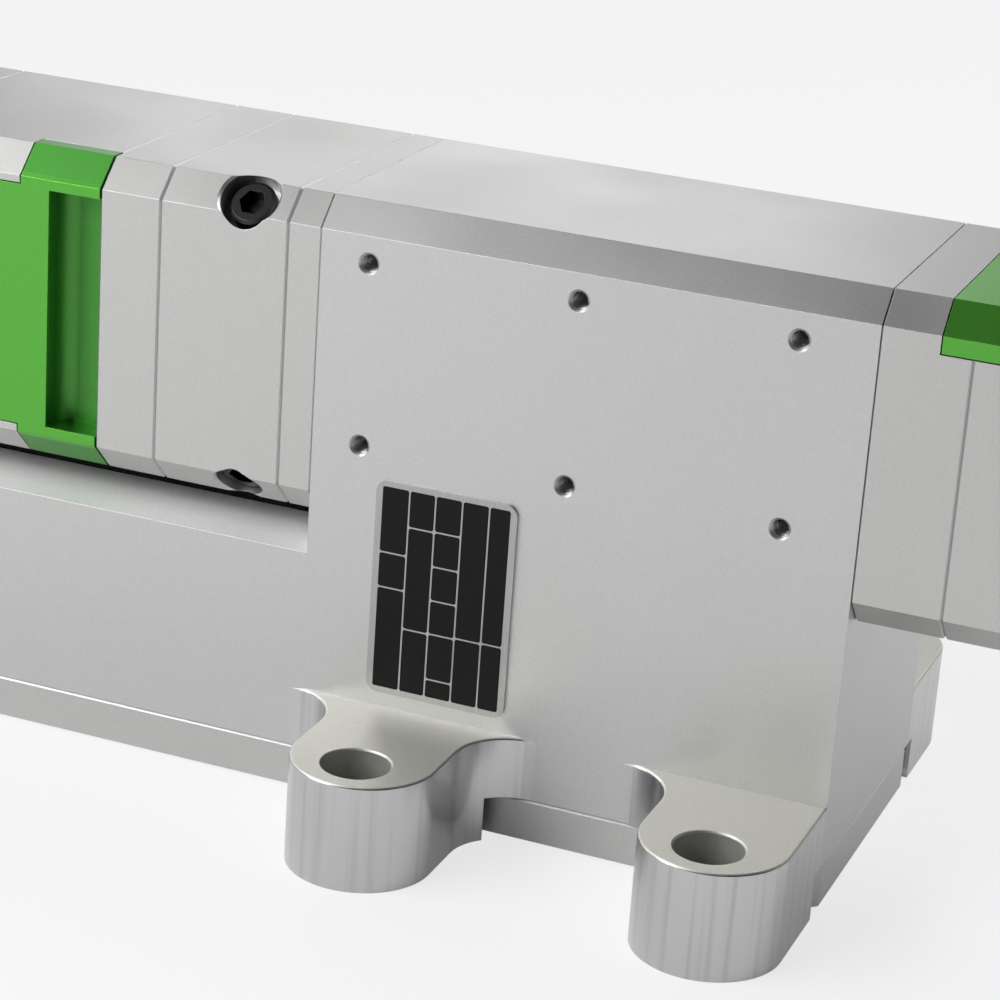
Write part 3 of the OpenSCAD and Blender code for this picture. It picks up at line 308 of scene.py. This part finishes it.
def blasted_anodised(name, shade, glint, smooth, rough, film, patches=()):
    """Bead-blasted and anodised aluminium between two shades of its dye, under a clear film.
    Each patch gives the corners of a box, with Y as the distance from the middle plane, and the two
    shades, the metallic share, the roughness and the width of upright tool marks, if any, inside it."""
    material, tree = start_material(name)
    place = add(tree, "ShaderNodeTexCoord").outputs["Object"]
    grain = add(
        tree,
        "ShaderNodeTexNoise",
        {"Vector": place, "Scale": per_metre(BEAD_GRAIN), "Detail": 2.0},
    )
    cloud = add(
        tree,
        "ShaderNodeTexNoise",
        {"Vector": place, "Scale": per_metre(CLOUD), "Detail": 1.0},
    )
    dye = add(tree, "ShaderNodeValToRGB", {"Fac": grain.outputs["Fac"]})
    dye.color_ramp.elements[0].position = DYE_LOW
    dye.color_ramp.elements[0].color = linear(shade)
    dye.color_ramp.elements[1].position = DYE_HIGH
    dye.color_ramp.elements[1].color = linear(glint)
    gloss = add(
        tree,
        "ShaderNodeMapRange",
        {"Value": cloud.outputs["Fac"], "To Min": smooth, "To Max": rough, **noise_range},
    )
    edge = add(tree, "ShaderNodeBevel", {"Radius": EDGE_BREAK * MM}, samples=BEVEL_SAMPLES)
    dents = add(
        tree,
        "ShaderNodeBump",
        {
            "Height": grain.outputs["Fac"],
            "Strength": DENT_STRENGTH,
            "Distance": BEAD_DENT * MM,
            "Normal": edge.outputs["Normal"],
        },
    )
    colour, metallic, roughness = dye.outputs["Color"], 1.0, gloss.outputs[0]
    axes = add(tree, "ShaderNodeSeparateXYZ", {"Vector": place})
    aside = add(tree, "ShaderNodeMath", {0: axes.outputs["Y"]}, operation="ABSOLUTE")
    coordinates = (axes.outputs["X"], aside.outputs[0], axes.outputs["Z"])
    for low, high, patch_shade, patch_glint, patch_metallic, patch_rough, mark in patches:
        texture = grain
        if mark:
            stretch = (per_metre(mark), per_metre(mark), per_metre(MARK_LENGTH))
            drawn = add(tree, "ShaderNodeMapping", {"Vector": place, "Scale": stretch})
            texture = add(
                tree,
                "ShaderNodeTexNoise",
                {"Vector": drawn.outputs[0], "Scale": 1.0, "Detail": 4.0},
            )
        other = add(tree, "ShaderNodeValToRGB", {"Fac": texture.outputs["Fac"]})
        other.color_ramp.elements[0].position = PATCH_LOW
        other.color_ramp.elements[0].color = linear(patch_shade)
        other.color_ramp.elements[1].position = PATCH_HIGH
        other.color_ramp.elements[1].color = linear(patch_glint)
        inside = 1.0
        for axis in range(3):
            middle, reach = (low[axis] + high[axis]) / 2, (high[axis] - low[axis]) / 2
            within = add(
                tree,
                "ShaderNodeMath",
                {0: coordinates[axis], 1: middle, 2: reach},
                operation="COMPARE",
            )
            both = add(tree, "ShaderNodeMath", {0: inside, 1: within.outputs[0]}, operation="MULTIPLY")
            inside = both.outputs[0]
        mixed = add(
            tree,
            "ShaderNodeMixRGB",
            {"Fac": inside, "Color1": colour, "Color2": other.outputs["Color"]},
        )
        share = add(
            tree,
            "ShaderNodeMapRange",
            {"Value": inside, "To Min": metallic, "To Max": patch_metallic},
        )
        coarse = add(
            tree,
            "ShaderNodeMapRange",
            {"Value": inside, "To Min": roughness, "To Max": patch_rough},
        )
        colour, metallic, roughness = mixed.outputs["Color"], share.outputs[0], coarse.outputs[0]
    metal = add(
        tree,
        "ShaderNodeBsdfPrincipled",
        {
            "Base Color": colour,
            "Metallic": metallic,
            "Roughness": roughness,
            "Coat Weight": film,
            "Coat Roughness": FILM_ROUGHNESS,
            "Normal": dents.outputs["Normal"],
        },
    )
    add(tree, "ShaderNodeOutputMaterial", {"Surface": metal.outputs[0]})
    return material


# Height of the lugs' upper faces in mm
LUG_TOP = 18.0
# A patch on a face reaches this far past it on both sides, and stops this far short of a neighbour
FACE_ROOM = 0.1
SIDE_ROOM = 0.2
# The patch of a bore is this much wider than the bore, all round
BORE_ROOM = 0.2
# The recess patch, a painted shade, lies between these depths behind the drawer's face
RECESS_START = 0.6
RECESS_END = 8.0
low_x, high_x, lug_reach = cad_low.x, cad_high.x, cad_high.y
block_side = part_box("centring_block")[1].y
strip_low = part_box("stack_support_strip")[0]
# The shelf under the stack is painted near white and matt, a painted light for the light that falls in
# under the stack
shelf_painted_light = (
    (low_x, 0.0, strip_low.z - FACE_ROOM * MM),
    (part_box("spacer_plate")[1].x, lug_reach, strip_low.z + FACE_ROOM * MM),
    "#ecece8", "#ffffff", 0.0, 0.5, None,
)
# The lugs were milled after the blast, with a face mill on top and an end mill round the side, which
# gives their gloss and upright marks; their tops are painted lighter and their sides darker than the
# body, painted light and shade
lug_tops_painted_lighter = (
    (low_x, block_side + SIDE_ROOM * MM, (LUG_TOP - FACE_ROOM) * MM),
    (high_x, lug_reach, (LUG_TOP + FACE_ROOM) * MM),
    "#dad9d0", "#e1e0d8", 0.7, 0.55, None,
)
lug_sides_painted_darker = (
    (low_x, block_side + SIDE_ROOM * MM, 0.0),
    (high_x, lug_reach, (LUG_TOP - SIDE_ROOM) * MM),
    "#b9b9bb", "#c9c9ca", 1.0, 0.24, MARK_WIDTH,
)
# Their holes were drilled and not reamed, so the bores are duller than the sides; their tone and
# smaller metallic share are painted light that brightens the walls inside the holes
mounts = {mount["name"]: mount for mount in frame["record"]["mounts"]}
lugs = mounts["mounting_lugs"]
pitch_x, pitch_y = lugs["dims"]["spacing_x_mm"] / 2, lugs["dims"]["spacing_y_mm"] / 2
bore = lugs["dims"]["hole_r_mm"] + BORE_ROOM
bores_painted_light = [
    (
        ((x - bore) * MM, (pitch_y - bore) * MM, 0.0),
        ((x + bore) * MM, (pitch_y + bore) * MM, (LUG_TOP - SIDE_ROOM) * MM),
        "#b8b8b3", "#c0c0bb", 0.7, 0.45, None,
    )
    for x in (-pitch_x, pitch_x)
]
# The finger recess of the upper drawer was milled with a ball cutter; its darker green is a painted
# shade, where the recess's walls keep the light off
grip_low, grip_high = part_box("upper_drawer_front")
recess_painted_shade = (
    (grip_low.x, -grip_low.y - RECESS_END * MM, grip_low.z),
    (grip_high.x, -grip_low.y - RECESS_START * MM, grip_high.z),
    "#4c963d", "#509c41", 1.0, 0.5, None,
)
# The blocks of the stack are painted a shade darker than the body, a painted shade for how the light
# falls on them. Each finish gives its two shades, its least and most roughness and the strength of
# its film.
silver_painted_darker = ("#c5c5c4", "#cacac9", 0.42, 0.48, 0.2)
body_silver = ("#cacaca", "#cfcfce", 0.42, 0.48, 0.2)
green = ("#5bb040", "#5fb445", 0.37, 0.43, 0.35)
finishes = {
    "silver_anodised": blasted_anodised("clear_anodised_aluminium_painted_darker", *silver_painted_darker),
    "machined_aluminium": blasted_anodised("fine_milled_aluminium", "#bdbdbc", "#c9c9c8", 0.26, 0.32, 0.0),
    "green_anodised": blasted_anodised("green_anodised_aluminium", *green),
    "black_anodised": blasted_anodised("black_anodised_aluminium", "#151516", "#1c1c1e", 0.40, 0.46, 0.5),
}
body_patches = [shelf_painted_light, lug_tops_painted_lighter, lug_sides_painted_darker, *bores_painted_light]
# The body's patches are painted light and shade, and the drawer's recess is painted shade
own_finish = {
    "main_body": blasted_anodised("clear_anodised_body_painted_light_and_shade", *body_silver, patches=body_patches),
    "upper_drawer_front": blasted_anodised("green_anodised_drawer_painted_shade", *green, patches=[recess_painted_shade]),
}
print("anodised finishes:", len(finishes) + len(own_finish))

# %% [markdown]
# ## Turned metals
#
# The brass fittings, the copper nozzle and the steel screws and rings are turned on a lathe, so
# fine rings run round them and stretch a highlight across. Most of them turn about an axis along X
# or close to it, and rings cut by planes across X give that look from a Wave texture.

# %% Turned finishes
# The feed of a finishing cut is about 0.1 mm, and the rings are drawn at four times that to show
TOOL_FEED = 0.4
FEED_DEPTH = 0.01
FEED_STRENGTH = 0.2
TONE_PATCH = 6.0
# A Wave texture's bands are this many of its own units apart at a scale of 1
WAVE_BAND = 2 * math.pi / 20


def turned_metal(name, colour, worn, smooth, rough):
    """A lathe-turned metal with fine feed rings and a slight change of tone."""
    material, tree = start_material(name)
    place = add(tree, "ShaderNodeTexCoord").outputs["Object"]
    rings = add(
        tree,
        "ShaderNodeTexWave",
        {"Vector": place, "Scale": WAVE_BAND * per_metre(TOOL_FEED), "Distortion": 0.4, "Detail": 1.0},
        wave_type="BANDS",
        bands_direction="X",
    )
    tone = add(tree, "ShaderNodeTexNoise", {"Vector": place, "Scale": per_metre(TONE_PATCH), "Detail": 3.0})
    shade = add(tree, "ShaderNodeValToRGB", {"Fac": tone.outputs["Fac"]})
    shade.color_ramp.elements[0].position = NOISE_LOW
    shade.color_ramp.elements[0].color = linear(worn)
    shade.color_ramp.elements[1].position = NOISE_HIGH
    shade.color_ramp.elements[1].color = linear(colour)
    gloss = add(
        tree,
        "ShaderNodeMapRange",
        {"Value": tone.outputs["Fac"], "To Min": rough, "To Max": smooth, **noise_range},
    )
    edge = add(tree, "ShaderNodeBevel", {"Radius": EDGE_BREAK * MM}, samples=BEVEL_SAMPLES)
    feed = add(
        tree,
        "ShaderNodeBump",
        {
            "Height": rings.outputs["Fac"],
            "Strength": FEED_STRENGTH,
            "Distance": FEED_DEPTH * MM,
            "Normal": edge.outputs["Normal"],
        },
    )
    metal = add(
        tree,
        "ShaderNodeBsdfPrincipled",
        {
            "Base Color": shade.outputs["Color"],
            "Metallic": 1.0,
            "Roughness": gloss.outputs[0],
            "Normal": feed.outputs["Normal"],
        },
    )
    add(tree, "ShaderNodeOutputMaterial", {"Surface": metal.outputs[0]})
    return material


# Colour, worn colour, least and most roughness
finishes["bright_steel"] = turned_metal("turned_stainless_steel", "#c4c3c1", "#a9a8a6", 0.22, 0.34)
finishes["dark_steel"] = turned_metal("black_oxide_steel", "#4b4a4a", "#38373a", 0.30, 0.42)
finishes["brass"] = turned_metal("turned_brass", "#d2ad5f", "#b38f45", 0.20, 0.32)
finishes["copper"] = turned_metal("turned_copper", "#d08a5c", "#a9663f", 0.22, 0.36)

# %% [markdown]
# ## Plastics, rubber, ceramic and lacquer
#
# The connectors are moulded in a spark-eroded tool, which leaves a fine pebble. The seals are
# rubber, the motor is lacquered over its laminations, and the ring that holds the nozzle is fired
# alumina. They are all dielectrics, so one function makes them from two tones, a grain and a gloss.

# %% Dielectric finishes
PEBBLE_STRENGTH = 0.3


def grained(name, tone, other, grain_mm, depth_mm, rough, specular=0.5):
    """A moulded, lacquered or fired surface with a fine pebble and two close tones."""
    material, tree = start_material(name)
    place = add(tree, "ShaderNodeTexCoord").outputs["Object"]
    pebble = add(tree, "ShaderNodeTexNoise", {"Vector": place, "Scale": per_metre(grain_mm), "Detail": 3.0})
    shade = add(tree, "ShaderNodeValToRGB", {"Fac": pebble.outputs["Fac"]})
    shade.color_ramp.elements[0].position = NOISE_LOW
    shade.color_ramp.elements[0].color = linear(tone)
    shade.color_ramp.elements[1].position = NOISE_HIGH
    shade.color_ramp.elements[1].color = linear(other)
    edge = add(tree, "ShaderNodeBevel", {"Radius": EDGE_BREAK * MM}, samples=BEVEL_SAMPLES)
    relief = add(
        tree,
        "ShaderNodeBump",
        {
            "Height": pebble.outputs["Fac"],
            "Strength": PEBBLE_STRENGTH,
            "Distance": depth_mm * MM,
            "Normal": edge.outputs["Normal"],
        },
    )
    skin = add(
        tree,
        "ShaderNodeBsdfPrincipled",
        {
            "Base Color": shade.outputs["Color"],
            "Roughness": rough,
            "Specular IOR Level": specular,
            "Normal": relief.outputs["Normal"],
        },
    )
    add(tree, "ShaderNodeOutputMaterial", {"Surface": skin.outputs[0]})
    return material


# Two tones, the grain and its depth in mm, the roughness and, for a duller gloss, the specular level
finishes["black_plastic"] = grained("moulded_black_nylon", "#0c0c0d", "#131314", 0.3, 0.03, 0.45, 0.25)
finishes["seal_rubber"] = grained("black_seal_rubber", "#1c1b1b", "#252424", 0.2, 0.02, 0.60)
finishes["motor_black"] = grained("black_motor_lacquer", "#141415", "#1b1b1d", 0.8, 0.02, 0.35)
finishes["white_ceramic"] = grained("fired_alumina", "#e9e6dc", "#f1eee6", 0.5, 0.01, 0.30)

# %% [markdown]
# ## Optical glass
#
# The lenses and the protective windows are polished fused silica. The polish is perfect but for a
# trace of dust, so the roughness comes from a sparse noise and stays near zero.

# %% Glass
DUST_SPACING = 2.0
DUST_LOW, DUST_HIGH = 0.6, 0.8
DUST_ROUGHNESS = 0.06
SILICA_IOR = 1.46

glass, tree = start_material("polished_fused_silica")
place = add(tree, "ShaderNodeTexCoord").outputs["Object"]
dust = add(tree, "ShaderNodeTexNoise", {"Vector": place, "Scale": per_metre(DUST_SPACING), "Detail": 4.0})
haze = add(
    tree,
    "ShaderNodeMapRange",
    {
        "Value": dust.outputs["Fac"],
        "From Min": DUST_LOW,
        "From Max": DUST_HIGH,
        "To Min": 0.0,
        "To Max": DUST_ROUGHNESS,
    },
)
silica = add(
    tree,
    "ShaderNodeBsdfPrincipled",
    {
        "Base Color": linear("#f4fbf8"),
        "Roughness": haze.outputs[0],
        "IOR": SILICA_IOR,
        "Transmission Weight": 1.0,
    },
)
add(tree, "ShaderNodeOutputMaterial", {"Surface": silica.outputs[0]})
finishes["optical_glass"] = glass

# %% [markdown]
# ## Data plate metal and ink
#
# The data plate is a stamped sheet of brushed aluminium. Its long axis is upright, and so is the
# brushing, which draws a noise out along Z. The fields on it are black screen ink with a slight
# sheen.

# %% Plate and ink
BRUSH_WIDTH = 0.12
BRUSH_LENGTH = 6.0
PLATE_ROUGHNESS = 0.34

brushed, tree = start_material("brushed_aluminium_sheet")
place = add(tree, "ShaderNodeTexCoord").outputs["Object"]
along = add(
    tree,
    "ShaderNodeMapping",
    {"Vector": place, "Scale": (per_metre(BRUSH_WIDTH), per_metre(BRUSH_WIDTH), per_metre(BRUSH_LENGTH))},
)
strokes = add(tree, "ShaderNodeTexNoise", {"Vector": along.outputs[0], "Scale": 1.0, "Detail": 2.0})
shade = add(tree, "ShaderNodeValToRGB", {"Fac": strokes.outputs["Fac"]})
shade.color_ramp.elements[0].color = linear("#98989a")
shade.color_ramp.elements[1].color = linear("#c4c4c5")
sheet = add(
    tree,
    "ShaderNodeBsdfPrincipled",
    {"Base Color": shade.outputs["Color"], "Metallic": 1.0, "Roughness": PLATE_ROUGHNESS},
)
add(tree, "ShaderNodeOutputMaterial", {"Surface": sheet.outputs[0]})
finishes["plate_metal"] = brushed
ink = grained("black_screen_ink", "#09090a", "#0e0e0f", 0.25, 0.004, 0.5, 0.2)

# %% [markdown]
# ## Dressing the nodes
#
# The record of the part names a finish for every node, so one loop dresses them all. The two nodes
# with patches take a finish of their own first.

# %% Dress the nodes
slot_of = {part["node"]: part["material_slot"] for part in frame["record"]["subparts"]}
for name, shown in nodes.items():
    for slot in shown.material_slots:
        slot.material = own_finish.get(name) or finishes[slot_of[name]]
print("finishes:", sorted(finishes))

# %% [markdown]
# ## The fields of the data plate
#
# The plate is printed in a table of black fields with bare metal between them. The fields are blank,
# as on a plate that has not been filled in yet. Each field is a thin slab of ink with its corners
# cut. An image could print them in one go, but a mesh stays sharp at any distance, so each slab is
# built from the table's dividing lines, which are named below in millimetres.

# %% Data plate fields
# Left and right edge of each strip of fields, and the heights that divide it, along X and Z in mm
STRIPS = [
    (-36.4, -31.6, [21.6, 39.1, 45.1, 56.4]),
    (-31.6, -27.1, [21.6, 32.6, 50.1, 56.4]),
    (-27.1, -22.5, [21.6, 24.8, 32.7, 38.5, 44.3, 50.2, 56.4]),
    (-22.5, -17.9, [21.6, 32.9, 56.4]),
    (-17.9, -14.2, [21.6, 33.0, 56.4]),
]
FIELD_GAP = 0.28
FIELD_CORNER = 0.25
INK_THICK = 0.03
plate_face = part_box("data_plate")[0].y

ink_mesh = bpy.data.meshes.new("plate_fields")
build = bmesh.new()
for left, right, heights in STRIPS:
    for bottom, top in zip(heights, heights[1:]):
        x0, x1 = left + FIELD_GAP / 2, right - FIELD_GAP / 2
        z0, z1 = bottom + FIELD_GAP / 2, top - FIELD_GAP / 2
        cut = FIELD_CORNER
        outline = [
            (x0 + cut, z0), (x1 - cut, z0), (x1, z0 + cut), (x1, z1 - cut),
            (x1 - cut, z1), (x0 + cut, z1), (x0, z1 - cut), (x0, z0 + cut),
        ]
        back = [build.verts.new((x * MM, plate_face, z * MM)) for x, z in outline]
        field = build.faces.new(back)
        raised = bmesh.ops.extrude_face_region(build, geom=[field])["geom"]
        for vertex in (v for v in raised if isinstance(v, bmesh.types.BMVert)):
            vertex.co.y -= INK_THICK * MM
bmesh.ops.recalc_face_normals(build, faces=build.faces)
build.to_mesh(ink_mesh)
build.free()
ink_mesh.materials.append(ink)
plate_fields = bpy.data.objects.new("plate_fields", ink_mesh)
bpy.context.scene.collection.objects.link(plate_fields)
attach(plate_fields, "head")
print("plate fields:", sum(len(heights) - 1 for left, right, heights in STRIPS))

# %% [markdown]
# ## Threads in the tapped holes
#
# The six holes in the near face are tapped, and the crests of the thread catch the light as bright
# crescents on the lower side of each hole. Cutting a helix into the solid would be slow and is not
# needed: a thin wire wound into a helix against the wall of the bore shows the same crests. Geometry
# Nodes winds one helix and puts it on a point at each hole's mouth. The result is turned into a
# plain mesh, because instances would not be exported.

# %% Tapped threads
THREAD_PITCH = 0.5
THREAD_TURNS = 11
CREST_RADIUS = 0.16
CREST_SIDES = 6
TURN_POINTS = 24
THREAD_START = 0.45

outer = mounts["accessory_holes_outer"]
centre = Vector(outer["pos_m"])
tap_radius = outer["dims"]["hole_r_mm"]
half_width, half_height = outer["dims"]["spacing_x_mm"] / 2, outer["dims"]["spacing_y_mm"] / 2
mouths = [
    centre + Vector((x, THREAD_START, z)) * MM
    for x in (-half_width, 0, half_width)
    for z in (-half_height, half_height)
]

thread_tree = bpy.data.node_groups.new("tapped_thread", "GeometryNodeTree")
interface = thread_tree.interface
interface.new_socket("Geometry", in_out="INPUT", socket_type="NodeSocketGeometry")
interface.new_socket("Geometry", in_out="OUTPUT", socket_type="NodeSocketGeometry")
sockets = {}
for name in ("Bore radius", "Crest radius", "Length", "Turns"):
    sockets[name] = interface.new_socket(name, in_out="INPUT", socket_type="NodeSocketFloat").identifier
given = add(thread_tree, "NodeGroupInput")
helix = add(
    thread_tree,
    "GeometryNodeCurveSpiral",
    {
        "Resolution": TURN_POINTS,
        "Rotations": given.outputs["Turns"],
        "Start Radius": given.outputs["Bore radius"],
        "End Radius": given.outputs["Bore radius"],
        "Height": given.outputs["Length"],
    },
)
crest = add(
    thread_tree,
    "GeometryNodeCurvePrimitiveCircle",
    {"Resolution": CREST_SIDES, "Radius": given.outputs["Crest radius"]},
)
wire = add(
    thread_tree,
    "GeometryNodeCurveToMesh",
    {"Curve": helix.outputs["Curve"], "Profile Curve": crest.outputs["Curve"], "Fill Caps": True},
)
wound = add(
    thread_tree,
    "GeometryNodeInstanceOnPoints",
    {
        "Points": given.outputs["Geometry"],
        "Instance": wire.outputs["Mesh"],
        "Rotation": (-math.pi / 2, 0.0, 0.0),
    },
)
real = add(thread_tree, "GeometryNodeRealizeInstances", {"Geometry": wound.outputs["Instances"]})
coated = add(
    thread_tree,
    "GeometryNodeSetMaterial",
    {"Geometry": real.outputs["Geometry"], "Material": finishes["bright_steel"]},
)
add(thread_tree, "NodeGroupOutput", {"Geometry": coated.outputs["Geometry"]})

mouth_mesh = bpy.data.meshes.new("tapped_hole_mouths")
mouth_mesh.from_pydata(mouths, [], [])
threads = bpy.data.objects.new("tapped_threads", mouth_mesh)
bpy.context.scene.collection.objects.link(threads)
winding = threads.modifiers.new("winding", "NODES")
winding.node_group = thread_tree
winding[sockets["Bore radius"]] = tap_radius * MM
winding[sockets["Crest radius"]] = CREST_RADIUS * MM
winding[sockets["Length"]] = THREAD_PITCH * THREAD_TURNS * MM
winding[sockets["Turns"]] = float(THREAD_TURNS)
settled = threads.evaluated_get(bpy.context.evaluated_depsgraph_get())
threads.data = bpy.data.meshes.new_from_object(settled)
threads.modifiers.clear()
threads.data.name = "tapped_threads"
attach(threads, "head")
triangles = sum(len(face.vertices) - 2 for face in threads.data.polygons)
print("tapped threads:", len(mouths), "triangles:", triangles)
